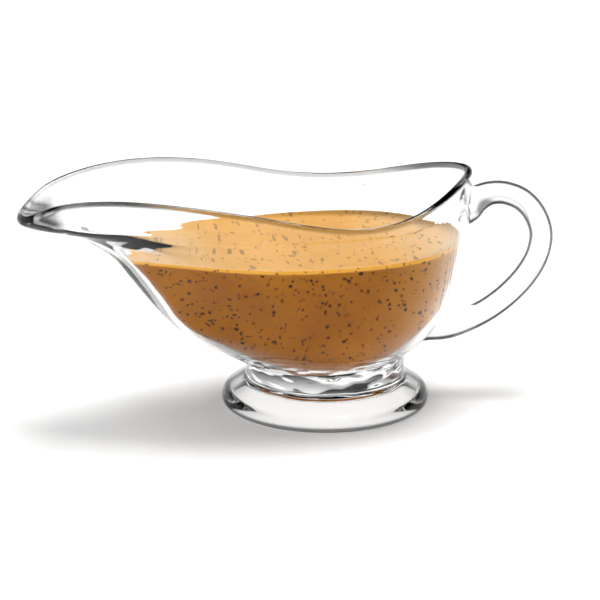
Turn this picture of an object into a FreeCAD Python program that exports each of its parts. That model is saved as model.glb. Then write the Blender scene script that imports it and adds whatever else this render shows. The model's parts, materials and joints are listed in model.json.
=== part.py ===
"""Footed pressed-glass gravy boat, with its gravy in it.

Frame, in millimetres: +Z is up and the boat stands on z = 0. The origin is the centre of the
round foot. The spout points to -X, the handle to +X, and the boat is the same either side of y = 0.

The real boat is pressed in three gathers of glass that are joined while hot: bowl, foot and handle.
Each is a solid of its own here, and they meet face to face.
"""
import FreeCAD, Part
import os
from math import cos, exp, hypot, pi, sin, tan

Vector = FreeCAD.Vector

# --- Driving dimensions -------------------------------------------------------------------------
WALL = 3.0                # bowl wall, and the width of its fire-polished rim
TIP_WALL = 4.8            # thickness of the lip at the spout's tip
FLOOR = 4.0               # bowl floor over the neck
FLOOR_FADE = 3.0          # sections over which the floor thins to the wall
TIP_X = -122.0            # where the lip is thickest
TIP_REACH = 30.0          # length over which the lip thins to the wall
GRAVY_LEVEL = 66.1        # height of the gravy's surface

FOOT_RADIUS = 41.2        # outside of the foot
FOOT_EDGE_HEIGHT = 4.9    # where the foot's slope meets its edge, before rounding
NECK_RADIUS = 31.5        # neck between foot and bowl
SHOULDER_HEIGHT = 11.7    # where the slope meets the neck, before rounding
NECK_TOP = 23.0           # the neck's top before the bowl is bedded into it
FOOT_WALL = 3.6           # glass over the hollow, along the slope
HOLLOW_HEIGHT = 8.6       # hollow under the foot
REST_INNER_RADIUS = 36.4  # inside of the ring that the boat stands on
CEILING_ROUND = 8.0       # roundings along the foot's outline, from the hollow to the neck
HOLLOW_ROUND = 2.0
REST_ROUND = 0.8
LOWER_EDGE_ROUND = 2.0
UPPER_EDGE_ROUND = 4.0
NECK_FILLET = 3.0

HANDLE_DEPTH = 9.4        # handle bar across, in the plane of the handle
HANDLE_WIDTH = 10.4       # handle bar across, side to side
ROOT_SPREAD = 0.6         # how far a root's growth goes sideways, against its growth in the plane

# Plan sections of the bowl's outside, from its lowest point up. Each one runs from front to back,
# and its half width at an angle t from the back is
#     sin(t) * (width + skew * cos(t) + taper * cos(2 * t) + ripple * RIPPLE).
# Outside, the prow draws it in near the front, to a share less; inside, the glass stays blunt.
# height, front, back, width, skew, taper, ripple, prow
SECTIONS = (
    (11.0, -6.0, -6.0, 0.0, 0.0, 0.0, 0.0, 0.0),
    (12.2, -18.5, 8.0, 12.5, 0.0, 0.0, 0.0, 0.0),
    (15.0, -27.3, 20.8, 22.0, 0.0, -0.2, 0.0, 0.0),
    (19.0, -32.8, 28.6, 28.3, 0.0, -0.8, 0.1, 0.0),
    (25.0, -44.0, 38.8, 32.8, 0.2, -2.4, 0.3, 0.0),
    (34.0, -59.4, 48.6, 35.4, 1.0, -4.4, 0.6, 0.06),
    (45.0, -69.5, 53.2, 36.2, 3.6, -5.0, 0.8, 0.22),
    (56.0, -77.8, 55.9, 36.6, 5.6, -5.0, 0.9, 0.38),
    (65.0, -84.8, 57.3, 36.9, 6.6, -5.0, 1.0, 0.44),
    (72.0, -94.4, 58.4, 37.7, 6.6, -4.9, 1.0, 0.36),
    (76.4, -102.4, 58.7, 38.5, 7.0, -4.4, 0.8, 0.22),
    (78.3, -111.8, 58.9, 37.4, 9.3, -5.4, 0.9, 0.1),
    (80.2, -119.6, 59.0, 36.3, 10.0, -6.3, 1.0, 0.0),
    (83.9, -124.8, 59.1, 37.0, 8.6, -6.0, 1.0, 0.0),
    (89.5, -126.6, 59.2, 38.6, 6.2, -5.1, 1.0, 0.0),
    (98.0, -127.0, 59.2, 38.9, 5.6, -4.9, 1.0, 0.0),
)
RIPPLE = ((3, -3.45), (4, -0.36), (5, -1.72))   # (order, amount): the rim's shoulders and waist
PROW_SPREAD = 0.35                              # plan angle over which the prow is drawn in

# Extra glass along the keel, under the spout
KEEL_EXTRA = 2.4
KEEL_ANGLES = (2.0, 2.65)                       # plan angles where it starts and where it is full
KEEL_HEIGHTS = (26.0, 50.0, 69.0, 81.0)         # heights where it starts, is full, thins and ends

# Height of the rim's crest along the boat: x, z
RIM_CREST = (
    (-121.5, 84.3), (-116.5, 87.6), (-109.4, 91.3), (-100.4, 93.7), (-83.0, 95.2),
    (-62.2, 94.1), (-31.4, 89.0), (-10.0, 84.3), (8.0, 82.4), (26.5, 84.0),
    (46.6, 89.8), (55.0, 92.4), (59.0, 93.3),
)

# Centre line of the handle bar, from its upper root to its lower one: x, z, growth of the section
HANDLE_LINE = (
    (51.5, 74.8, 1.7), (57.5, 76.6, 1.46), (62.0, 79.6, 1.18), (67.2, 81.5, 1.03), (73.5, 81.2, 1.0),
    (80.5, 78.0, 1.0), (85.9, 71.8, 1.0), (88.7, 63.6, 1.0), (87.3, 54.6, 1.0), (82.6, 46.4, 1.0),
    (75.2, 38.8, 1.0), (66.2, 32.6, 1.0), (56.8, 28.7, 1.05), (49.5, 27.1, 1.12), (42.0, 27.0, 1.12),
    (31.0, 27.2, 1.12),
)

# Fineness of the surfaces
ANGLES = 30               # plan angles from back to tip, on one side
WALL_ROWS = 24            # rows up the outside, and down the inside
RIM_ROWS = 6              # rows over the rim
FIRST_SECTION = 0.4       # start of the rows, just outside the lowest point
TRACE_STEPS = 120         # steps used to space the rows evenly
ROW_CROWDING = 1.3        # rows crowd towards the rim
STEP = 0.001              # step of the numeric derivatives
LOWEST_RIM = 0.6          # share of the sections below which the rim never starts
OVAL_POINTS = 16          # points round the handle's section
FLAT_TOLERANCE = 0.01

# Block that the gravy is cut from
BLOCK_LENGTH = 400.0
BLOCK_WIDTH = 200.0
BLOCK_BOTTOM = 5.0


# --- Outside of the bowl ------------------------------------------------------------------------
def section(u):
    """Section number u, between whole ones along a Catmull-Rom curve."""
    i = min(int(u), len(SECTIONS) - 2)
    t = u - i
    values = []
    for k in range(len(SECTIONS[0])):
        b, c = SECTIONS[i][k], SECTIONS[i + 1][k]
        if i > 0:
            a = SECTIONS[i - 1][k]
        elif k == 0:
            a = c
        else:
            a = -c
        d = SECTIONS[i + 2][k] if i + 2 < len(SECTIONS) else 2 * c - b
        curve = 2 * b + (c - a) * t + (2 * a - 5 * b + 4 * c - d) * t ** 2
        values.append((curve + (3 * b - a - 3 * c + d) * t ** 3) / 2)
    return values


def hull(angle, u, sharpness):
    """Point of the hull at a plan angle and section number, its prow drawn in or left blunt."""
    z, front, back, width, skew, taper, ripple, prow = section(u)
    across = width + skew * cos(angle) + taper * cos(2 * angle)
    across += ripple * sum(amount * cos(order * angle) for order, amount in RIPPLE)
    across *= 1 - sharpness * prow * exp(-((pi - angle) / PROW_SPREAD) ** 2)
    along = (front + back) / 2 + (back - front) / 2 * cos(angle)
    return Vector(along, across * sin(angle), z)


def outside(angle, u):
    """Point of the outer skin."""
    return hull(angle, u, 1)


def outward(angle, u, sharpness=1):
    """Unit normal of the hull."""
    around = hull(angle + STEP, u, sharpness) - hull(angle - STEP, u, sharpness)
    up = hull(angle, u + STEP, sharpness) - hull(angle, max(u - STEP, 0), sharpness)
    return around.cross(up).normalize()


def smooth(t):
    """Smooth step from 0 to 1."""
    t = min(max(t, 0), 1)
    return t * t * (3 - 2 * t)


def wall(x):
    """Thickness of the glass, which grows towards the spout's tip."""
    return WALL + (TIP_WALL - WALL) * smooth((TIP_X + TIP_REACH - x) / TIP_REACH)


def keel_extra(angle, z):
    """Extra thickness of the glass along the keel."""
    bottom, full, last_full, top = KEEL_HEIGHTS
    start, end = KEEL_ANGLES
    rise = smooth((z - bottom) / (full - bottom)) * smooth((top - z) / (top - last_full))
    return KEEL_EXTRA * rise * smooth((angle - start) / (end - start))


def inside(angle, u):
    """Point of the inner skin: the blunt hull moved in by the glass's thickness."""
    point = hull(angle, u, 0)
    thickness = wall(point.x) + (FLOOR - WALL) * smooth(1 - u / FLOOR_FADE) + keel_extra(angle, point.z)
    return point - outward(angle, u, 0) * thickness


# --- Rim ----------------------------------------------------------------------------------------
def second_slopes(points):
    """Second derivatives of the natural cubic spline through points of (x, y)."""
    n = len(points)
    gap = [points[i + 1][0] - points[i][0] for i in range(n - 1)]
    rise = [(points[i + 1][1] - points[i][1]) / gap[i] for i in range(n - 1)]
    pivot = [1.0] * n
    load = [0.0] * n
    for i in range(1, n - 1):
        factor = gap[i - 1] / pivot[i - 1] if i > 1 else 0.0
        pivot[i] = 2 * (gap[i - 1] + gap[i]) - factor * gap[i - 1]
        load[i] = 6 * (rise[i] - rise[i - 1]) - factor * load[i - 1]
    slopes = [0.0] * n
    for i in range(n - 2, 0, -1):
        slopes[i] = (load[i] - gap[i] * slopes[i + 1]) / pivot[i]
    return slopes


CREST_SLOPES = second_slopes(RIM_CREST)


def crest(x):
    """Height of the rim's crest at x."""
    x = min(max(x, RIM_CREST[0][0]), RIM_CREST[-1][0])
    i = 0
    while i < len(RIM_CREST) - 2 and x > RIM_CREST[i + 1][0]:
        i += 1
    (x0, z0), (x1, z1) = RIM_CREST[i], RIM_CREST[i + 1]
    a, b, h = x1 - x, x - x0, x1 - x0
    bend = CREST_SLOPES[i] * (a ** 3 - a * h ** 2) + CREST_SLOPES[i + 1] * (b ** 3 - b * h ** 2)
    return (z0 * a + z1 * b) / h + bend / (6 * h)


def above_crest(angle, u):
    """How far a rim rounded from this point would stand above the crest."""
    point = outside(angle, u)
    return point.z + wall(point.x) / 2 * (1 - outward(angle, u).z) - crest(point.x)


def rim_section(angle):
    """Section number where the outer skin ends and the rim's rounding starts."""
    low, high = len(SECTIONS) * LOWEST_RIM, len(SECTIONS) - 1.0
    while high - low > STEP:
        middle = (low + high) / 2
        if above_crest(angle, middle) < 0:
            low = middle
        else:
            high = middle
    return low


def rim(angle, u):
    """Points over the half-round rim, from outside to inside."""
    start = outside(angle, u)
    out = outward(angle, u)
    radius = wall(start.x) / 2
    centre = start - out * radius
    up = out.cross(Vector(0, 0, 1)).cross(out).normalize()
    turns = [pi * i / RIM_ROWS for i in range(1, RIM_ROWS)]
    return [centre + out * (radius * cos(a)) + up * (radius * sin(a)) for a in turns]


# --- Bowl ---------------------------------------------------------------------------------------
def spaced(skin, angle, last):
    """Points up a skin from the first section to the last, crowding towards the rim."""
    trace = [FIRST_SECTION + (last - FIRST_SECTION) * i / TRACE_STEPS for i in range(TRACE_STEPS + 1)]
    spots = [skin(angle, u) for u in trace]
    length = [0.0]
    for a, b in zip(spots, spots[1:]):
        length.append(length[-1] + (b - a).Length)
    points = []
    j = 0
    for i in range(WALL_ROWS + 1):
        target = length[-1] * (1 - (1 - i / WALL_ROWS) ** ROW_CROWDING)
        while j < TRACE_STEPS - 1 and length[j + 1] < target:
            j += 1
        part = (target - length[j]) / (length[j + 1] - length[j])
        points.append(skin(angle, trace[j] + (trace[j + 1] - trace[j]) * part))
    return points


def bowl_profile(angle):
    """The glass's section at one plan angle: up the outside, over the rim and down the inside."""
    last = rim_section(angle)
    inner = spaced(inside, angle, last)
    inner[0].z = section(FIRST_SECTION)[0] + FLOOR
    profile = spaced(outside, angle, last) + rim(angle, last) + inner[::-1]
    if angle in (0, pi):
        for point in profile:
            point.y = 0
    return profile


def bowl():
    """One skinned surface for half the bowl, its mirror image, and a small flat at each floor."""
    surface = Part.BSplineSurface()
    surface.interpolate([bowl_profile(pi * i / ANGLES) for i in range(ANGLES + 1)])
    half = surface.toShape()
    other = half.mirror(Vector(0, 0, 0), Vector(0, 1, 0))
    faces = [half, other]
    for z in (section(FIRST_SECTION)[0], section(FIRST_SECTION)[0] + FLOOR):
        ring = [e for face in (half, other) for e in face.Edges if flat_at(e, z)]
        faces.append(Part.Face(Part.Wire(Part.__sortEdges__(ring))))
    return solid_of(faces)


def flat_at(edge, z):
    """Whether an edge lies in the horizontal plane at z."""
    box = edge.BoundBox
    return max(abs(box.ZMin - z), abs(box.ZMax - z)) < FLAT_TOLERANCE


def solid_of(faces):
    """The solid that a closed set of faces bounds."""
    skin = Part.Compound(faces)
    skin.sewShape()
    solid = Part.Solid(skin.Shells[0])
    if solid.Volume < 0:
        solid.reverse()
    return solid


# --- Gravy --------------------------------------------------------------------------------------
def contents(glass, level):
    """What fills the bowl up to a level."""
    block = Part.makeBox(BLOCK_LENGTH, BLOCK_WIDTH, level - BLOCK_BOTTOM,
                         Vector(-BLOCK_LENGTH / 2, -BLOCK_WIDTH / 2, BLOCK_BOTTOM))
    pieces = block.cut(glass).Solids
    return min(pieces, key=lambda piece: piece.Volume)


# --- Foot ---------------------------------------------------------------------------------------
def foot_corners():
    """Corners of the foot's outline with their rounding: radius, height, rounding."""
    slope = (SHOULDER_HEIGHT - FOOT_EDGE_HEIGHT) / (FOOT_RADIUS - NECK_RADIUS)
    inner_edge = FOOT_EDGE_HEIGHT + (FOOT_RADIUS - REST_INNER_RADIUS) * slope
    inner_edge -= FOOT_WALL * hypot(1, slope)
    ceiling_radius = REST_INNER_RADIUS - (HOLLOW_HEIGHT - inner_edge) / slope
    return (
        (0.0, HOLLOW_HEIGHT, 0.0),
        (ceiling_radius, HOLLOW_HEIGHT, CEILING_ROUND),
        (REST_INNER_RADIUS, inner_edge, HOLLOW_ROUND),
        (REST_INNER_RADIUS, 0.0, REST_ROUND),
        (FOOT_RADIUS, 0.0, LOWER_EDGE_ROUND),
        (FOOT_RADIUS, FOOT_EDGE_HEIGHT, UPPER_EDGE_ROUND),
        (NECK_RADIUS, SHOULDER_HEIGHT, NECK_FILLET),
        (NECK_RADIUS, NECK_TOP, 0.0),
        (0.0, NECK_TOP, 0.0),
    )


def rounded_outline(corners):
    """Edges through corners of (radius, height, rounding) in the plane y = 0, open at both ends."""
    points = [Vector(r, 0, z) for r, z, rounding in corners]
    edges = []
    last = points[0]
    for i in range(1, len(points) - 1):
        rounding = corners[i][2]
        if rounding == 0:
            edges.append(Part.makeLine(last, points[i]))
            last = points[i]
            continue
        back = (points[i - 1] - points[i]).normalize()
        ahead = (points[i + 1] - points[i]).normalize()
        half = back.getAngle(ahead) / 2
        start = points[i] + back * (rounding / tan(half))
        end = points[i] + ahead * (rounding / tan(half))
        top = points[i] + (back + ahead).normalize() * (rounding / sin(half) - rounding)
        edges.append(Part.makeLine(last, start))
        edges.append(Part.Arc(start, top, end).toShape())
        last = end
    edges.append(Part.makeLine(last, points[-1]))
    return edges


def foot(glass, filling):
    """Turned foot and neck, with the bowl bedded into its top."""
    edges = rounded_outline(foot_corners())
    edges.append(Part.makeLine(Vector(0, 0, NECK_TOP), Vector(0, 0, HOLLOW_HEIGHT)))
    turned = Part.Face(Part.Wire(edges)).revolve(Vector(0, 0, 0), Vector(0, 0, 1), 360)
    return largest(turned.cut(glass).cut(filling))


# --- Handle -------------------------------------------------------------------------------------
def root_oval(centre, along, growth):
    """Oval section of the bar, square to its line."""
    half_depth = HANDLE_DEPTH / 2 * growth
    half_width = HANDLE_WIDTH / 2 * (1 + (growth - 1) * ROOT_SPREAD)
    across = along.cross(Vector(0, 1, 0)).normalize()
    points = []
    for i in range(OVAL_POINTS):
        turn = 2 * pi * i / OVAL_POINTS
        points.append(centre + across * (half_depth * cos(turn)) + Vector(0, half_width * sin(turn), 0))
    oval = Part.BSplineCurve()
    oval.interpolate(points, PeriodicFlag=True)
    return Part.Wire(oval.toShape())


def handle(glass, filling):
    """Looped bar with an oval section that swells into both roots."""
    line = Part.BSplineCurve()
    line.interpolate([Vector(x, 0, z) for x, z, _ in HANDLE_LINE])
    rings = []
    for x, z, growth in HANDLE_LINE:
        centre = Vector(x, 0, z)
        rings.append(root_oval(centre, line.tangent(line.parameter(centre))[0], growth))
    bar = Part.makeLoft(rings, True)
    return largest(bar.cut(glass).cut(filling))


def largest(shape):
    """The largest solid of a shape."""
    return max(shape.Solids, key=lambda solid: solid.Volume)


# --- Build --------------------------------------------------------------------------------------
def build():
    glass = bowl()
    filling = contents(glass, GRAVY_LEVEL)
    pieces = {
        "bowl": glass,
        "foot": foot(glass, filling),
        "handle": handle(glass, filling),
        "gravy": filling,
    }
    os.makedirs("parts", exist_ok=True)
    for name, solid in pieces.items():
        box = solid.optimalBoundingBox()
        print(name, "valid", solid.isValid(), "cm3", round(solid.Volume / 1000, 1),
              "x", round(box.XMin, 1), round(box.XMax, 1), "y", round(box.YMin, 1), round(box.YMax, 1),
              "z", round(box.ZMin, 1), round(box.ZMax, 1))
        solid.exportStep(os.path.join("parts", name + ".step"))


build()
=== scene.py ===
"""Looks of the footed glass gravy boat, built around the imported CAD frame.

The glass is modelled in millimetres with the same formula as the CAD bowl, and turned into metres
when a mesh is made. Bowl, foot and handle become one closed skin of glass, as on the real boat:
light would see an air gap between separate pieces. The gravy is a closed skin of its own, which
stands a hair's breadth off the glass.
"""

import json
from math import cos, exp, hypot, pi, radians, sin, tan

import bpy
from mathutils import Matrix, Vector

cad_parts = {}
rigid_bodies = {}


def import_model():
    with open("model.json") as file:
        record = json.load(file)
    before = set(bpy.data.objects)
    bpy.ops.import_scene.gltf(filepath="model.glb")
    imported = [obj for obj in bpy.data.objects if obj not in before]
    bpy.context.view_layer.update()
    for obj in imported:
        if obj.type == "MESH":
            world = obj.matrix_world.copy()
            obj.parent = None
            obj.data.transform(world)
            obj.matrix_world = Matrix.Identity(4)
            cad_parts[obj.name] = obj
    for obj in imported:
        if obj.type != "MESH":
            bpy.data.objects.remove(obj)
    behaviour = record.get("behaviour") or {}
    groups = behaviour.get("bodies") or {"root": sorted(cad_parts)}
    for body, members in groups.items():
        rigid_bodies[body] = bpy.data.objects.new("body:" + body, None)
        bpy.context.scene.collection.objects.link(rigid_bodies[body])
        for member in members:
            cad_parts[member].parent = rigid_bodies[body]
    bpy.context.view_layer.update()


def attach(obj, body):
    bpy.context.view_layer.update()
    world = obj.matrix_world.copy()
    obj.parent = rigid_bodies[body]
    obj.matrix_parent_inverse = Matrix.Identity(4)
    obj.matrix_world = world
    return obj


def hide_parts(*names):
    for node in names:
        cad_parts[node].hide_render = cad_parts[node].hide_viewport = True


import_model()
MM = 0.001
TRIM = Vector((0.9998, 0.999, 0.9998))    # keeps these finer meshes inside the CAD's own

# --- Sizes of the boat, in millimetres ------------------------------------------------------------
WALL = 3.0
TIP_WALL = 4.8            # thickness at the spout's tip
TIP_X = -122.0
TIP_REACH = 30.0          # how far from the tip the wall is thicker
FLOOR = 4.0               # thickness at the bottom
FLOOR_FADE = 3.0          # section number where the floor's extra thickness ends

FOOT_RADIUS = 41.2
NECK_RADIUS = 31.5
FOOT_EDGE_HEIGHT = 4.9    # where the shoulder's slope meets the edge, before rounding
SHOULDER_HEIGHT = 11.7    # where the slope meets the neck, before rounding
NECK_TOP = 23.0
FOOT_WALL = 3.6
REST_INNER_RADIUS = 36.4
HOLLOW_HEIGHT = 8.6
CEILING_ROUND = 8.0       # roundings along the foot's outline, from the hollow to the neck
HOLLOW_ROUND = 2.0
REST_ROUND = 0.8
LOWER_EDGE_ROUND = 2.0
UPPER_EDGE_ROUND = 4.0
NECK_FILLET = 3.0

HANDLE_DEPTH = 9.4        # of the bar, in the plane of its loop
HANDLE_WIDTH = 10.4
ROOT_SPREAD = 0.6         # share of the roots' growth that widens the bar

# Plan sections of the bowl's outside: height, front, back, width, skew, taper, ripple, prow
SECTIONS = (
    (11.0, -6.0, -6.0, 0.0, 0.0, 0.0, 0.0, 0.0),
    (12.2, -18.5, 8.0, 12.5, 0.0, 0.0, 0.0, 0.0),
    (15.0, -27.3, 20.8, 22.0, 0.0, -0.2, 0.0, 0.0),
    (19.0, -32.8, 28.6, 28.3, 0.0, -0.8, 0.1, 0.0),
    (25.0, -44.0, 38.8, 32.8, 0.2, -2.4, 0.3, 0.0),
    (34.0, -59.4, 48.6, 35.4, 1.0, -4.4, 0.6, 0.06),
    (45.0, -69.5, 53.2, 36.2, 3.6, -5.0, 0.8, 0.22),
    (56.0, -77.8, 55.9, 36.6, 5.6, -5.0, 0.9, 0.38),
    (65.0, -84.8, 57.3, 36.9, 6.6, -5.0, 1.0, 0.44),
    (72.0, -94.4, 58.4, 37.7, 6.6, -4.9, 1.0, 0.36),
    (76.4, -102.4, 58.7, 38.5, 7.0, -4.4, 0.8, 0.22),
    (78.3, -111.8, 58.9, 37.4, 9.3, -5.4, 0.9, 0.1),
    (80.2, -119.6, 59.0, 36.3, 10.0, -6.3, 1.0, 0.0),
    (83.9, -124.8, 59.1, 37.0, 8.6, -6.0, 1.0, 0.0),
    (89.5, -126.6, 59.2, 38.6, 6.2, -5.1, 1.0, 0.0),
    (98.0, -127.0, 59.2, 38.9, 5.6, -4.9, 1.0, 0.0),
)
RIPPLE = ((3, -3.45), (4, -0.36), (5, -1.72))    # finer waves of the plan outline: order, amount
PROW_SPREAD = 0.35        # plan angle over which the prow is drawn in

# Extra glass along the keel under the spout
KEEL_EXTRA = 2.4
KEEL_ANGLES = (2.0, 2.65)                 # plan angles where it starts and where it is full
KEEL_HEIGHTS = (26.0, 50.0, 69.0, 81.0)   # starts, full, still full, gone

# Height of the rim's crest along the boat: x, z
RIM_CREST = (
    (-121.5, 84.3), (-116.5, 87.6), (-109.4, 91.3), (-100.4, 93.7), (-83.0, 95.2),
    (-62.2, 94.1), (-31.4, 89.0), (-10.0, 84.3), (8.0, 82.4), (26.5, 84.0),
    (46.6, 89.8), (55.0, 92.4), (59.0, 93.3),
)

# Centre line of the handle bar, from its upper root to its lower one: x, z, growth of the section
HANDLE_LINE = (
    (51.5, 74.8, 1.7), (57.5, 76.6, 1.46), (62.0, 79.6, 1.18), (67.2, 81.5, 1.03),
    (73.5, 81.2, 1.0), (80.5, 78.0, 1.0), (85.9, 71.8, 1.0), (88.7, 63.6, 1.0),
    (87.3, 54.6, 1.0), (82.6, 46.4, 1.0), (75.2, 38.8, 1.0), (66.2, 32.6, 1.0),
    (56.8, 28.7, 1.05), (49.5, 27.1, 1.12), (42.0, 27.0, 1.12), (31.0, 27.2, 1.12),
)

# Gravy
GRAVY_LEVEL = 66.1
MENISCUS = 0.9            # how far the gravy climbs the glass
MENISCUS_REACH = 1.1      # how fast the climb dies away from the wall
CLEARANCE = 0.08          # the gravy's side stands this far off the glass

# Fineness of the meshes
ANGLES = 84               # plan angles from back to tip, on one side
WALL_ROWS = 66
RIM_ROWS = 14
FIRST_SECTION = 0.4       # section number of the lowest ring
RIM_SEARCH = (9.6, 15.0)  # section numbers between which the rim starts
TOP_SEARCH = (4.0, 13.0)  # section numbers between which the gravy's side ends
TRACE_STEPS = 160         # samples along a wall, for spacing its rows
ROW_CROWDING = 1.3        # above 1, rows crowd towards the rim
STEP = 0.001              # step in plan angle or section number, for slopes and searches
TURNS = 144               # facets round the foot
ARC_STEPS = 12            # facets along each rounded corner of the foot's outline
BAR_SIDES = 36            # facets round the handle bar
BAR_STEPS = 7             # rings per span of the handle's line
MENISCUS_INSETS = (0.15, 0.35, 0.6, 0.9, 1.3, 1.8, 2.4, 3.2, 4.4)    # rings, in from the glass
TOP_SHARES = (0.2, 0.35, 0.5, 0.65, 0.8, 0.92)    # rings on the level top, from edge to middle
SHARP_EDGE = radians(38)  # edges sharper than this aren't shaded smooth

# --- Looks of the glass ---------------------------------------------------------------------------
GLASS_BODY = ((0.962, 0.971, 0.970, 1), (0.982, 0.986, 0.984, 1))
GLASS_SHEEN = (0.25, 0.25, 0.25, 1)
NECK_RIPPLES_START = (0.009, 0.013)    # metres above the table: none, full
NECK_RIPPLES_END = (0.022, 0.026)      # still full, none
NECK_RIPPLES_GRAIN = (1.0, 1.0, 2.6)
# Painted shade on the glass's edges: the colour darkens towards EDGE_COLOUR as the surface turns
# from face on, sooner on handle and foot.
EDGE_COLOUR = (0.008, 0.009, 0.009, 1)
EDGE_SHADE = (0.78, 0.20)              # how far from face on the edges' shade starts, and its run
HANDLE_SHADE_X = (0.0585, 0.062)       # metres: where the bowl ends and the handle's shade is full
HANDLE_SHADE_MORE = 0.50               # how much earlier the shade starts on the thin round bar
FOOT_SHADE_Z = (0.012, 0.020)          # metres: up to where the foot's shade is full, where it ends
FOOT_SHADE_MORE = 0.22                 # how much earlier the shade starts on the foot

# Painted shade on the glass, standing in for the dark that its foot edge, rim, handle root, keel
# and tip refract:
# the share of light it takes away, then where it lies in millimetres. A pair says where that shade
# is gone and where it is full.
FOOT_LINE = 0.97
FOOT_LINE_Z = (3.4, 1.8)
FOOT_LINE_WIDTH = 1.5                  # in from the foot's edge
RIM_LINE = 0.62
RIM_LINE_DEPTH = (2.2, 1.2)            # below the crest
RIM_LINE_MORE = 0.35                   # extra shade along the spout's -Y side and at the back
SPOUT_SIDE_X = ((-119, -113), (-60, -80))
BACK_X = (25, 45)
ROOT_PAINTED_SHADE = 0.9                        # painted shade at the handle's upper root
ROOT_MIDDLE = Vector((63.6, -4.5, 77.2))
ROOT_REACH = (5.5, 3.0)
KEEL_LINE = 0.85
KEEL_LINE_X = -33                      # on the spout's side of this
KEEL_LINE_Y = 4
KEEL_LINE_REACH = (6, 3.5)             # to either side of its middle
KEEL_LINE_Z = ((20, 26), (72, 62))
TIP_SHADE_X = (-103, -110)
TIP_SHADE_Z = (88, 84)
TIP_STREAKS = 0.25                     # how strongly streaks break up the shade at the tip
TIP_WAVES = (0.45, 0.3, 1.7)           # their turn, in radians per millimetre of x, y and z

# --- Looks of the gravy ---------------------------------------------------------------------------
SIDE_DARK = (0.45, 0.135, 0.0, 1)
SIDE_LIGHT = (0.60, 0.205, 0.0, 1)
SIDE_LIT_PAINTED = (0.84, 0.36, 0.03, 1)
SIDE_PALE_X = (0.005, 0.050)  # metres: painted light, the side paler from here to there, towards the handle
# Painted light where the gravy climbs the glass: a bright band, and a glow although no lamp is
# there.
BRIM_LIGHT_PAINTED = (0.98, 0.48, 0.05, 1)
BRIM_GLOW = 0.22
BRIM_BAND = (1.2, 0.1)        # millimetres below the gravy's level where it starts and is full
TOP_DARK = (0.62, 0.30, 0.045, 1)
TOP_LIGHT = (0.74, 0.39, 0.10, 1)
TOP_PALE = (0.72, 0.50, 0.28, 1)
# Where the top pales, towards the handle and the spout: x from and to in metres, share there
TOP_PALE_BACK = (0.010, 0.050, 0.0, 0.7)
TOP_PALE_FRONT = (-0.070, -0.035, 0.6, 0.0)
UPWARD = (0.55, 0.9)          # upward part of the normal where the side ends and the top starts
CLOUD_SPAN = (0.3, 0.7)       # part of a noise's range that is spread from 0 to 1
# Herb flecks: turn of their grain, cells per metre, share of cells filled, size in cells, colour
FLECKS = (
    ((0.5, 0.9, 0.2), 420.0, 0.13, 0.36, (0.010, 0.005, 0.001, 1)),
    ((1.3, 0.6, 1.0), 560.0, 0.20, 0.36, (0.03, 0.012, 0.001, 1)),
    ((0.2, 1.4, 2.2), 680.0, 0.22, 0.36, (0.05, 0.020, 0.001, 1)),
    ((0.9, 2.2, 0.6), 500.0, 0.18, 0.34, (0.020, 0.010, 0.001, 1)),
)
FLECK_STRENGTH = (0.85, 0.5)  # on the side and on the top
FLECK_STRETCH = 0.3           # a fleck's thickness to its length
FLECK_SMALLEST = 0.55         # smallest fleck to the largest
FLECK_WARP = 0.003            # metres by which noise bends them

# --- Stage ----------------------------------------------------------------------------------------
SKY_WALL = 1.0
SKY_TOP = 0.04
SKY_FADE = (0.20, 0.42)       # sine of the elevations where the sky starts to darken and is dark
# Softboxes: place and size in metres, power in watts
KEY_LIGHT = ((0.20, 0.34, 2.2), 1.1, 60.0)
FILL_LIGHT = ((-0.6, -1.9, 1.4), 1.4, 12.0)
TABLE_RADIUS = 4.0            # metres
TABLE_SIDES = 96
TABLE_COLOURS = ((0.80, 0.80, 0.795, 1), (0.82, 0.82, 0.815, 1))
TABLE_GLOW = 0.24
PAD_GLOW = 0.8                # stands for the light that the glass gathers under the foot
PAD_RADII = (30.0, 44.0)      # millimetres: up to where it is full, where it ends

# Camera, in metres
LOOK_AT = Vector((-0.01023, 0.0, 0.04224))
CAMERA_AZIMUTH = radians(-12.5)
CAMERA_ELEVATION = radians(18.0)
CAMERA_DISTANCE = 1.2
CAMERA_LENS = 181.73          # millimetres


# --- Outside of the bowl --------------------------------------------------------------------------
def catmull_rom(a, b, c, d, t):
    """Value at share t of the way from b to c, on the curve through a, b, c and d."""
    curve = 2 * b + (c - a) * t + (2 * a - 5 * b + 4 * c - d) * t ** 2
    return (curve + (3 * b - a - 3 * c + d) * t ** 3) / 2


def section(u):
    """Section number u, between whole ones along a Catmull-Rom curve."""
    i = min(int(u), len(SECTIONS) - 2)
    values = []
    for k in range(len(SECTIONS[0])):
        b, c = SECTIONS[i][k], SECTIONS[i + 1][k]
        if i > 0:
            a = SECTIONS[i - 1][k]
        elif k == 0:
            a = c
        else:
            a = -c
        d = SECTIONS[i + 2][k] if i + 2 < len(SECTIONS) else 2 * c - b
        values.append(catmull_rom(a, b, c, d, u - i))
    return values


def hull(angle, u, sharpness):
    """Point of the hull at a plan angle and section number, its prow drawn in or left blunt."""
    z, front, back, width, skew, taper, ripple, prow = section(u)
    across = width + skew * cos(angle) + taper * cos(2 * angle)
    across += ripple * sum(amount * cos(order * angle) for order, amount in RIPPLE)
    across *= 1 - sharpness * prow * exp(-((pi - angle) / PROW_SPREAD) ** 2)
    along = (front + back) / 2 + (back - front) / 2 * cos(angle)
    return Vector((along, across * sin(angle), z))


def outside(angle, u):
    """Point of the outer skin."""
    return hull(angle, u, 1)


def outward(angle, u, sharpness=1):
    """Unit normal of the hull."""
    around = hull(angle + STEP, u, sharpness) - hull(angle - STEP, u, sharpness)
    up = hull(angle, u + STEP, sharpness) - hull(angle, max(u - STEP, 0), sharpness)
    return around.cross(up).normalized()


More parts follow.
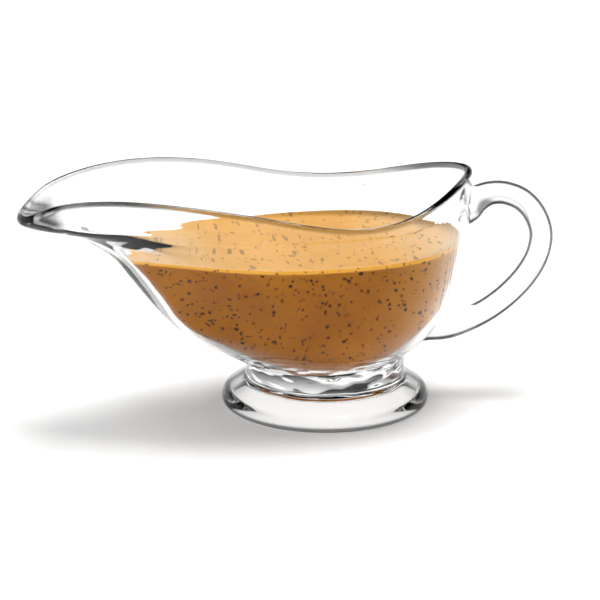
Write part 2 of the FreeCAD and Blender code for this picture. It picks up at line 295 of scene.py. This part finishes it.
def wall(x):
    """Thickness of the glass, which grows towards the spout's tip."""
    t = min(max((x - TIP_X) / TIP_REACH, 0), 1)
    return WALL + (TIP_WALL - WALL) * (1 - t) ** 2 * (1 + 2 * t)


def smooth(t):
    """Smooth step from 0 to 1."""
    t = min(max(t, 0), 1)
    return t * t * (3 - 2 * t)


def ramp(value, gone, full):
    """Smooth step from 0 where value is gone to 1 where it is full, rising or falling."""
    return smooth((value - gone) / (full - gone))


def keel_extra(angle, z):
    """Extra thickness of the glass along the keel."""
    bottom, full, last_full, top = KEEL_HEIGHTS
    rise = ramp(z, bottom, full) * ramp(z, top, last_full)
    return KEEL_EXTRA * rise * ramp(angle, *KEEL_ANGLES)


def within(angle, u, share=1.0, more=0.0):
    """Point a share of the glass's thickness, and a little more, in from the blunt hull."""
    point = hull(angle, u, 0)
    thickness = wall(point.x) + (FLOOR - WALL) * smooth(1 - u / FLOOR_FADE)
    thickness += keel_extra(angle, point.z)
    return point - outward(angle, u, 0) * (thickness * share + more)


# --- Rim ------------------------------------------------------------------------------------------
def second_slopes(points):
    """Second derivatives of the natural cubic spline through points of (x, y)."""
    n = len(points)
    gap = [points[i + 1][0] - points[i][0] for i in range(n - 1)]
    rise = [(points[i + 1][1] - points[i][1]) / gap[i] for i in range(n - 1)]
    pivot = [1.0] * n
    load = [0.0] * n
    for i in range(1, n - 1):
        factor = gap[i - 1] / pivot[i - 1] if i > 1 else 0.0
        pivot[i] = 2 * (gap[i - 1] + gap[i]) - factor * gap[i - 1]
        load[i] = 6 * (rise[i] - rise[i - 1]) - factor * load[i - 1]
    slopes = [0.0] * n
    for i in range(n - 2, 0, -1):
        slopes[i] = (load[i] - gap[i] * slopes[i + 1]) / pivot[i]
    return slopes


CREST_SLOPES = second_slopes(RIM_CREST)


def crest(x):
    """Height of the rim's crest at x."""
    x = min(max(x, RIM_CREST[0][0]), RIM_CREST[-1][0])
    i = 0
    while i < len(RIM_CREST) - 2 and x > RIM_CREST[i + 1][0]:
        i += 1
    (x0, z0), (x1, z1) = RIM_CREST[i], RIM_CREST[i + 1]
    a, b, h = x1 - x, x - x0, x1 - x0
    bend = CREST_SLOPES[i] * (a ** 3 - a * h ** 2) + CREST_SLOPES[i + 1] * (b ** 3 - b * h ** 2)
    return (z0 * a + z1 * b) / h + bend / (6 * h)


def above_crest(angle, u):
    """How far a rim rounded from this point would stand above the crest."""
    point = outside(angle, u)
    return point.z + wall(point.x) / 2 * (1 - outward(angle, u).z) - crest(point.x)


def find_section(too_high, low, high):
    """The section number where too_high(u) turns true."""
    while high - low > STEP / 10:
        middle = (low + high) / 2
        if too_high(middle):
            high = middle
        else:
            low = middle
    return low


def rim_section(angle):
    """Section number where the outer skin ends and the rim's rounding starts."""
    return find_section(lambda u: above_crest(angle, u) > 0, *RIM_SEARCH)


def rim(angle, u):
    """Points over the half-round rim, from outside to inside."""
    start = outside(angle, u)
    out = outward(angle, u)
    radius = wall(start.x) / 2
    centre = start - out * radius
    up = out.cross(Vector((0, 0, 1))).cross(out).normalized()
    turns = [pi * i / RIM_ROWS for i in range(1, RIM_ROWS)]
    return [centre + out * (radius * cos(a)) + up * (radius * sin(a)) for a in turns]


def spaced(point_at, last, count, crowding):
    """Points from the first section to the last, evenly spaced or crowding towards the last."""
    reach = last - FIRST_SECTION
    trace = [FIRST_SECTION + reach * i / TRACE_STEPS for i in range(TRACE_STEPS + 1)]
    spots = [point_at(u) for u in trace]
    length = [0.0]
    for a, b in zip(spots, spots[1:]):
        length.append(length[-1] + (b - a).length)
    points = []
    j = 0
    for i in range(count + 1):
        target = length[-1] * (1 - (1 - i / count) ** crowding)
        while j < TRACE_STEPS - 1 and length[j + 1] < target:
            j += 1
        part = (target - length[j]) / (length[j + 1] - length[j])
        points.append(point_at(trace[j] + (trace[j + 1] - trace[j]) * part))
    return points


# --- Meshes ---------------------------------------------------------------------------------------
def placed(name, data):
    """New object that shows the data, in the scene."""
    piece = bpy.data.objects.new(name, data)
    bpy.context.scene.collection.objects.link(piece)
    return piece


def mirrored_rings(profiles):
    """Whole rings from profiles at the plan angles of one side, mirrored in y."""
    rings = []
    for row in zip(*profiles):
        back, *side, tip = row
        other = [Vector((p.x, -p.y, p.z)) for p in side[::-1]]
        rings.append([Vector((back.x, 0, back.z)), *side, Vector((tip.x, 0, tip.z)), *other])
    return rings


def closed_skin(name, rings):
    """Mesh object through rings of equal count, with both ends closed by a fan."""
    n = len(rings[0])
    points = [p * TRIM * MM for ring in rings for p in ring]
    faces = []
    for j in range(len(rings) - 1):
        for i in range(n):
            k = (i + 1) % n
            faces.append((j * n + i, j * n + k, (j + 1) * n + k, (j + 1) * n + i))
    for first, ring, order in ((0, rings[0], -1), ((len(rings) - 1) * n, rings[-1], 1)):
        hub = len(points)
        points.append(sum(ring, Vector((0, 0, 0))) * TRIM * (MM / n))
        for i in range(n):
            faces.append((hub, first + i, first + (i + 1) % n)[::order])
    mesh = bpy.data.meshes.new(name)
    mesh.from_pydata(points, [], faces)
    mesh.validate()
    mesh.update()
    return placed(name, mesh)


def combine(piece, tool, operation):
    """Adds the tool to the piece or cuts it away, and deletes the tool."""
    change = piece.modifiers.new("combine", "BOOLEAN")
    change.operation = operation
    change.solver = "MANIFOLD"
    change.object = tool
    bpy.context.view_layer.objects.active = piece
    bpy.ops.object.modifier_apply(modifier=change.name)
    bpy.data.objects.remove(tool)


def plan_angles():
    """Plan angles from the back, at 0, to the spout's tip, at half a turn."""
    return [pi * i / ANGLES for i in range(ANGLES + 1)]


def round_angles(count):
    """Angles of count points evenly round a circle."""
    return [2 * pi * i / count for i in range(count)]


def bowl_skin():
    """The bowl: up the outside, over the rim and down the inside."""
    profiles = []
    for angle in plan_angles():
        last = rim_section(angle)
        outer = spaced(lambda u: outside(angle, u), last, WALL_ROWS, ROW_CROWDING)
        inner = spaced(lambda u: within(angle, u), last, WALL_ROWS, ROW_CROWDING)
        profiles.append(outer + rim(angle, last) + inner[::-1])
    return closed_skin("boat_glass", mirrored_rings(profiles))


def core():
    """Solid that fills the bowl out to the middle of its wall, for trimming what joins it."""
    profiles = []
    for angle in plan_angles():
        last = rim_section(angle)
        profiles.append(spaced(lambda u: within(angle, u, 0.5), last, WALL_ROWS, 1.0))
    return closed_skin("core", mirrored_rings(profiles))


def foot_corners():
    """Corners of the foot's outline with their rounding: radius, height, rounding."""
    slope = (SHOULDER_HEIGHT - FOOT_EDGE_HEIGHT) / (FOOT_RADIUS - NECK_RADIUS)
    drop = FOOT_WALL * (1 + slope ** 2) ** 0.5
    inner_edge = FOOT_EDGE_HEIGHT - drop + (FOOT_RADIUS - REST_INNER_RADIUS) * slope
    ceiling_radius = REST_INNER_RADIUS - (HOLLOW_HEIGHT - inner_edge) / slope
    return (
        (0.0, HOLLOW_HEIGHT, 0.0),
        (ceiling_radius, HOLLOW_HEIGHT, CEILING_ROUND),
        (REST_INNER_RADIUS, inner_edge, HOLLOW_ROUND),
        (REST_INNER_RADIUS, 0.0, REST_ROUND),
        (FOOT_RADIUS, 0.0, LOWER_EDGE_ROUND),
        (FOOT_RADIUS, FOOT_EDGE_HEIGHT, UPPER_EDGE_ROUND),
        (NECK_RADIUS, SHOULDER_HEIGHT, NECK_FILLET),
        (NECK_RADIUS, NECK_TOP, 0.0),
        (0.0, NECK_TOP, 0.0),
    )


def foot_profile():
    """Radius and height along the foot's outline, with its corners rounded."""
    corners = [Vector(c) for c in foot_corners()]
    profile = []
    for before, corner, after in zip(corners, corners[1:], corners[2:]):
        point = corner.xy
        back = (before.xy - point).normalized()
        ahead = (after.xy - point).normalized()
        half = back.angle(ahead) / 2
        start = point + back * (corner.z / tan(half))
        centre = point + (back + ahead).normalized() * (corner.z / sin(half))
        turn = pi - 2 * half if back.cross(ahead) < 0 else 2 * half - pi
        for i in range(ARC_STEPS + 1 if corner.z else 1):
            profile.append(centre + Matrix.Rotation(turn * i / ARC_STEPS, 2) @ (start - centre))
    return profile


def foot_skin():
    """Turned foot and neck."""
    angles = round_angles(TURNS)
    rings = [[Vector((r * cos(a), r * sin(a), z)) for a in angles] for r, z in foot_profile()]
    return closed_skin("foot_blank", rings)


def handle_line():
    """Points of (x, z, growth) along the handle, finely spaced on a Catmull-Rom curve."""
    line = []
    for i in range(len(HANDLE_LINE) - 1):
        b, c = Vector(HANDLE_LINE[i]), Vector(HANDLE_LINE[i + 1])
        a = Vector(HANDLE_LINE[i - 1]) if i else 2 * b - c
        d = Vector(HANDLE_LINE[i + 2]) if i + 2 < len(HANDLE_LINE) else 2 * c - b
        line += [catmull_rom(a, b, c, d, step / BAR_STEPS) for step in range(BAR_STEPS)]
    line.append(Vector(HANDLE_LINE[-1]))
    return line


def handle_skin():
    """Looped bar with an oval section that swells into both roots."""
    line = handle_line()
    angles = round_angles(BAR_SIDES)
    rings = []
    for i, (x, z, growth) in enumerate(line):
        ahead, behind = line[min(i + 1, len(line) - 1)], line[max(i - 1, 0)]
        along = Vector((ahead[0] - behind[0], 0, ahead[1] - behind[1])).normalized()
        across = along.cross(Vector((0, 1, 0)))
        deep = HANDLE_DEPTH / 2 * growth
        wide = HANDLE_WIDTH / 2 * (1 + (growth - 1) * ROOT_SPREAD)
        middle = Vector((x, 0, z))
        rings.append([middle + across * (deep * cos(a)) + Vector((0, wide * sin(a), 0))
                      for a in angles])
    return closed_skin("handle_blank", rings)


def outward_normals(piece):
    """Turns the faces outward and shades them smooth, except across real edges."""
    bpy.context.view_layer.objects.active = piece
    for other in bpy.data.objects:
        other.select_set(other is piece)
    bpy.ops.object.mode_set(mode="EDIT")
    bpy.ops.mesh.select_all(action="SELECT")
    bpy.ops.mesh.normals_make_consistent(inside=False)
    bpy.ops.object.mode_set(mode="OBJECT")
    for face in piece.data.polygons:
        face.use_smooth = True
    piece.data.set_sharp_from_angle(angle=SHARP_EDGE)


def painted_glass_shade(x, y, z):
    """Painted shade of the glass at a point, as the share of light it takes away: foot edge, rim,
    root, keel and tip.
    """
    if z < FOOT_LINE_Z[0] and hypot(x, y) > FOOT_RADIUS - FOOT_LINE_WIDTH:
        return FOOT_LINE * ramp(z, *FOOT_LINE_Z)
    depth = crest(x) - z
    if x < RIM_CREST[-1][0] and depth < RIM_LINE_DEPTH[0]:
        front, rear = SPOUT_SIDE_X
        spout_side = ramp(x, *front) * ramp(x, *rear) if y < 0 else 0
        shade = RIM_LINE + RIM_LINE_MORE * max(spout_side, ramp(x, *BACK_X))
        return shade * ramp(depth, *RIM_LINE_DEPTH)
    from_root = (Vector((x, y, z)) - ROOT_MIDDLE).length
    if x > HANDLE_SHADE_X[0] / MM and from_root < ROOT_REACH[0]:
        return ROOT_PAINTED_SHADE * ramp(from_root, *ROOT_REACH)
    keel = 0
    if x < KEEL_LINE_X:
        lower, upper = KEEL_LINE_Z
        keel = KEEL_LINE * ramp(abs(y - KEEL_LINE_Y), *KEEL_LINE_REACH)
        keel *= ramp(z, *lower) * ramp(z, *upper)
    wave = sum(turn * part for turn, part in zip(TIP_WAVES, (x, y, z)))
    tip = ramp(x, *TIP_SHADE_X) * ramp(z, *TIP_SHADE_Z)
    return max(keel, tip * (1 - TIP_STREAKS + TIP_STREAKS * sin(wave)))


def paint_shade(piece):
    """Stores the painted shade at every vertex."""
    shade = piece.data.attributes.new("shade", "FLOAT", "POINT")
    for vertex, value in zip(piece.data.vertices, shade.data):
        value.value = painted_glass_shade(*(vertex.co / MM))


def glass_body():
    """One closed skin of glass: bowl, foot and handle."""
    glass = bowl_skin()
    for blank in (foot_skin(), handle_skin()):
        outward_normals(blank)
        inner = core()
        outward_normals(inner)
        combine(blank, inner, "DIFFERENCE")
        outward_normals(glass)
        combine(glass, blank, "UNION")
    outward_normals(glass)
    paint_shade(glass)
    return glass


def wetted(angle, u):
    """Point of the gravy's side."""
    return within(angle, u, more=CLEARANCE)


def gravy_body():
    """The gravy: wetted sides, a meniscus and a level top."""
    top = GRAVY_LEVEL + MENISCUS
    sides = []
    for angle in plan_angles():
        last = find_section(lambda u: wetted(angle, u).z > top, *TOP_SEARCH)
        sides.append(spaced(lambda u: wetted(angle, u), last, WALL_ROWS, 1.0))
    rings = mirrored_rings(sides)
    edge = rings[-1]
    middle = Vector((sum(p.x for p in edge) / len(edge), 0, top))
    for inset in MENISCUS_INSETS:
        level = top + MENISCUS * (exp(-inset / MENISCUS_REACH) - 1)
        rings.append([p.lerp(middle, inset / (p - middle).length) for p in edge])
        for p in rings[-1]:
            p.z = level
    for share in TOP_SHARES:
        rings.append([p.lerp(middle, share) for p in edge])
        for p in rings[-1]:
            p.z = top - MENISCUS
    gravy = closed_skin("gravy_fill", rings)
    outward_normals(gravy)
    return gravy


# --- Materials ------------------------------------------------------------------------------------
class Nodes:
    """Short way to add linked shader nodes to a material."""

    def __init__(self, name):
        self.material = bpy.data.materials.new(name)
        self.material.use_nodes = True
        self.tree = self.material.node_tree
        self.shader = self.tree.nodes["Principled BSDF"]

    def add(self, kind, settings=None, **inputs):
        """A node, with plain attributes set from settings and inputs set or linked by name."""
        node = self.tree.nodes.new("ShaderNode" + kind)
        for name, value in (settings or {}).items():
            setattr(node, name, value)
        for name, value in inputs.items():
            self.feed(node.inputs[name.replace("_", " ")], value)
        return node

    def feed(self, socket, value):
        """Links the socket to another one, or sets its plain value."""
        if isinstance(value, bpy.types.NodeSocket):
            self.tree.links.new(value, socket)
        else:
            socket.default_value = value

    def shade(self, **inputs):
        """Sets or links inputs of the material's own shader by name."""
        for name, value in inputs.items():
            self.feed(self.shader.inputs[name.replace("_", " ")], value)

    def operate(self, kind, operation, *values):
        """A maths node that works on the values in order."""
        node = self.add(kind, {"operation": operation})
        for socket, value in zip(node.inputs, values):
            self.feed(socket, value)
        return node

    def maths(self, operation, a, b):
        """Result of an operation on a and b."""
        return self.operate("Math", operation, a, b).outputs["Value"]

    def mix(self, share, a, b):
        """Colour that lies a share of the way from a to b."""
        node = self.add("Mix", {"data_type": "RGBA"})
        for index, value in ((0, share), (6, a), (7, b)):
            self.feed(node.inputs[index], value)
        return node.outputs[2]

    def span(self, value, low, high, to_low=0.0, to_high=1.0):
        """Smooth step from to_low, where value is low, to to_high, where it is high."""
        node = self.add("MapRange", {"interpolation_type": "SMOOTHSTEP"}, Value=value,
                        From_Min=low, From_Max=high, To_Min=to_low, To_Max=to_high)
        return node.outputs["Result"]


def clear_glass():
    """Clear pressed glass: faint waves and smears, a rippled neck, and painted shade at its edges.
    """
    glass = Nodes("clear_glass")
    place = glass.add("TexCoord").outputs["Object"]
    spot = glass.add("SeparateXYZ", Vector=place).outputs
    waves = glass.add("TexNoise", Vector=place, Scale=38.0, Detail=1.0).outputs["Fac"]
    smears = glass.add("TexNoise", Vector=place, Scale=90.0, Detail=4.0).outputs["Fac"]

    laid = glass.add("Mapping", Vector=place, Scale=NECK_RIPPLES_GRAIN).outputs["Vector"]
    ripples = glass.add("TexNoise", Vector=laid, Scale=62.0, Detail=1.0, Distortion=0.3)
    on_neck = glass.maths("MULTIPLY", glass.span(spot["Z"], *NECK_RIPPLES_START),
                          glass.span(spot["Z"], *NECK_RIPPLES_END, 1.0, 0.0))
    bump = glass.add("Bump", Height=waves, Strength=0.12, Distance=0.0004)
    bump = glass.add("Bump", Height=ripples.outputs["Fac"], Strength=on_neck, Distance=0.0015,
                     Normal=bump.outputs["Normal"])

    # Painted shade: the glass darkens towards its edges, and takes the painted shade stored on its
    # vertices where that is darker.
    on_handle = glass.span(spot["X"], *HANDLE_SHADE_X)
    on_foot = glass.span(spot["Z"], *FOOT_SHADE_Z, 1.0, 0.0)
    start = EDGE_SHADE[0]
    for share, more in ((on_handle, HANDLE_SHADE_MORE), (on_foot, FOOT_SHADE_MORE)):
        start = glass.maths("SUBTRACT", start, glass.maths("MULTIPLY", share, more))
    full = glass.maths("ADD", start, EDGE_SHADE[1])
    facing = glass.add("LayerWeight", Blend=0.5).outputs["Facing"]
    # The painted shade stored on the vertices by paint_shade.
    painted = glass.add("Attribute", {"attribute_name": "shade"}).outputs["Fac"]
    shade = glass.maths("MAXIMUM", glass.span(facing, start, full), painted)

    glass.shade(Base_Color=glass.mix(shade, glass.mix(waves, *GLASS_BODY), EDGE_COLOUR),
                Roughness=glass.span(smears, 0.45, 0.8, 0.0, 0.02), IOR=1.5,
                Transmission_Weight=1.0, Specular_Tint=GLASS_SHEEN, Normal=bump.outputs["Normal"])
    return glass.material


def flecks(gravy, place, turn, scale, share, size):
    """Mask of scattered herb flecks, long one way and thin the other two."""
    lie = gravy.add("Mapping", Vector=place, Rotation=turn,
                    Scale=(scale, scale * FLECK_STRETCH, scale))
    cells = gravy.add("TexVoronoi", Vector=lie.outputs["Vector"], Scale=1.0)
    pick = gravy.add("SeparateColor", Color=cells.outputs["Color"])
    some = gravy.span(pick.outputs["Red"], 1 - share, 1 - share + 0.02)
    reach = gravy.span(pick.outputs["Green"], 0.0, 1.0, size * FLECK_SMALLEST, size)
    spot = gravy.maths("LESS_THAN", cells.outputs["Distance"], reach)
    return gravy.maths("MULTIPLY", some, spot)


def brown_gravy():
    """Opaque brown gravy with dark flecks, paler on top, with painted light on its side towards the
    handle and a painted glowing band where it climbs the glass.
    """
    gravy = Nodes("gravy")
    frames = gravy.add("TexCoord").outputs
    place = frames["Object"]
    spot = gravy.add("SeparateXYZ", Vector=place).outputs
    up = gravy.add("SeparateXYZ", Vector=frames["Normal"]).outputs["Z"]

    cloud = gravy.add("TexNoise", Vector=place, Scale=26.0, Detail=5.0, Roughness=0.6)
    patch = gravy.span(cloud.outputs["Fac"], *CLOUD_SPAN)
    side = gravy.mix(patch, SIDE_DARK, SIDE_LIGHT)
    # Painted light: the side is paler towards the handle, where more light falls on it.
    side = gravy.mix(gravy.span(spot["X"], *SIDE_PALE_X), side, SIDE_LIT_PAINTED)
    painted_brim_light = gravy.span(spot["Z"], *((GRAVY_LEVEL - below) * MM for below in BRIM_BAND))
    side = gravy.mix(painted_brim_light, side, BRIM_LIGHT_PAINTED)
    ends = gravy.maths("MAXIMUM", gravy.span(spot["X"], *TOP_PALE_BACK),
                       gravy.span(spot["X"], *TOP_PALE_FRONT))
    top = gravy.mix(ends, gravy.mix(patch, TOP_DARK, TOP_LIGHT), TOP_PALE)
    base = gravy.mix(gravy.span(up, *UPWARD), side, top)

    bent = gravy.add("TexNoise", Vector=place, Scale=170.0, Detail=2.0).outputs["Color"]
    warped = gravy.operate("VectorMath", "MULTIPLY_ADD", bent, (FLECK_WARP,) * 3, place)
    strength = gravy.span(up, *UPWARD, *FLECK_STRENGTH)
    for turn, scale, share, size, colour in FLECKS:
        mask = flecks(gravy, warped.outputs["Vector"], turn, scale, share, size)
        base = gravy.mix(gravy.maths("MULTIPLY", mask, strength), base, colour)

    grain = gravy.add("TexNoise", Vector=place, Scale=420.0, Detail=3.0).outputs["Fac"]
    bump = gravy.add("Bump", Height=grain, Strength=0.25, Distance=0.0002)
    # Painted light: the band where the gravy climbs the glass glows, on the side only.
    glow = gravy.maths("MULTIPLY", painted_brim_light, gravy.span(up, *UPWARD, BRIM_GLOW, 0.0))
    gravy.shade(Base_Color=base, Emission_Color=BRIM_LIGHT_PAINTED, Emission_Strength=glow,
                Roughness=gravy.span(grain, *CLOUD_SPAN, 0.28, 0.42), IOR=1.4,
                Specular_IOR_Level=gravy.span(up, *UPWARD, 0.0, 0.35),
                Normal=bump.outputs["Normal"])
    return gravy.material


def pale_table():
    """White table top with a faint mottle, lit from below where the foot stands."""
    table = Nodes("pale_floor")
    place = table.add("TexCoord").outputs["Object"]
    mottle = table.add("TexNoise", Vector=place, Scale=6.0, Detail=2.0).outputs["Fac"]
    away = table.operate("VectorMath", "LENGTH", place).outputs["Value"]
    glow = table.span(away, *(radius * MM for radius in PAD_RADII), PAD_GLOW, TABLE_GLOW)
    table.shade(Base_Color=table.mix(mottle, *TABLE_COLOURS), Roughness=0.9,
                Specular_IOR_Level=0.0, Emission_Color=(1, 1, 1, 1), Emission_Strength=glow)
    return table.material


# --- Stage ----------------------------------------------------------------------------------------
def sky():
    """White walls all round, and a dark ceiling that draws the glass's edges."""
    world = bpy.data.worlds.new("studio")
    bpy.context.scene.world = world
    world.use_nodes = True
    tree = world.node_tree
    place = tree.nodes.new("ShaderNodeTexCoord")
    split = tree.nodes.new("ShaderNodeSeparateXYZ")
    fade = tree.nodes.new("ShaderNodeMapRange")
    fade.interpolation_type = "SMOOTHSTEP"
    limits = (*SKY_FADE, SKY_WALL, SKY_TOP)
    for name, value in zip(("From Min", "From Max", "To Min", "To Max"), limits):
        fade.inputs[name].default_value = value
    tree.links.new(place.outputs["Generated"], split.inputs["Vector"])
    tree.links.new(split.outputs["Z"], fade.inputs["Value"])
    tree.links.new(fade.outputs["Result"], tree.nodes["Background"].inputs["Strength"])
    tree.nodes["Background"].inputs["Color"].default_value = (1, 1, 1, 1)


def aim(piece, place, direction):
    """Sets a light or camera at a place, looking in a direction."""
    piece.location = place
    piece.rotation_euler = direction.to_track_quat("-Z", "Y").to_euler()


def area_light(name, place, size, power):
    """Square softbox that looks at the boat."""
    data = bpy.data.lights.new(name, "AREA")
    data.size = size
    data.energy = power
    aim(placed(name, data), place, LOOK_AT - Vector(place))


def camera():
    """Camera at the boat's left front, a little above it."""
    data = bpy.data.cameras.new("camera")
    data.lens = CAMERA_LENS
    data.sensor_width = 36.0
    data.clip_end = 100.0
    back = Vector((sin(CAMERA_AZIMUTH) * cos(CAMERA_ELEVATION),
                   -cos(CAMERA_AZIMUTH) * cos(CAMERA_ELEVATION), sin(CAMERA_ELEVATION)))
    viewer = placed("camera", data)
    aim(viewer, LOOK_AT + back * CAMERA_DISTANCE, -back)
    bpy.context.scene.camera = viewer


def table_top():
    """Large round table top."""
    points = [(TABLE_RADIUS * cos(a), TABLE_RADIUS * sin(a), 0) for a in round_angles(TABLE_SIDES)]
    mesh = bpy.data.meshes.new("table_top")
    mesh.from_pydata(points, [], [tuple(range(TABLE_SIDES))])
    floor = placed("table_top", mesh)
    floor.data.materials.append(pale_table())


camera()
sky()
table_top()
area_light("key", *KEY_LIGHT)
area_light("fill", *FILL_LIGHT)

glass = glass_body()
glass.data.materials.clear()
glass.data.materials.append(clear_glass())
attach(glass, "root")
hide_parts("bowl", "foot", "handle")

gravy = gravy_body()
gravy.data.materials.append(brown_gravy())
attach(gravy, "root")
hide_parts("gravy")

bpy.context.scene.view_settings.view_transform = "Standard"
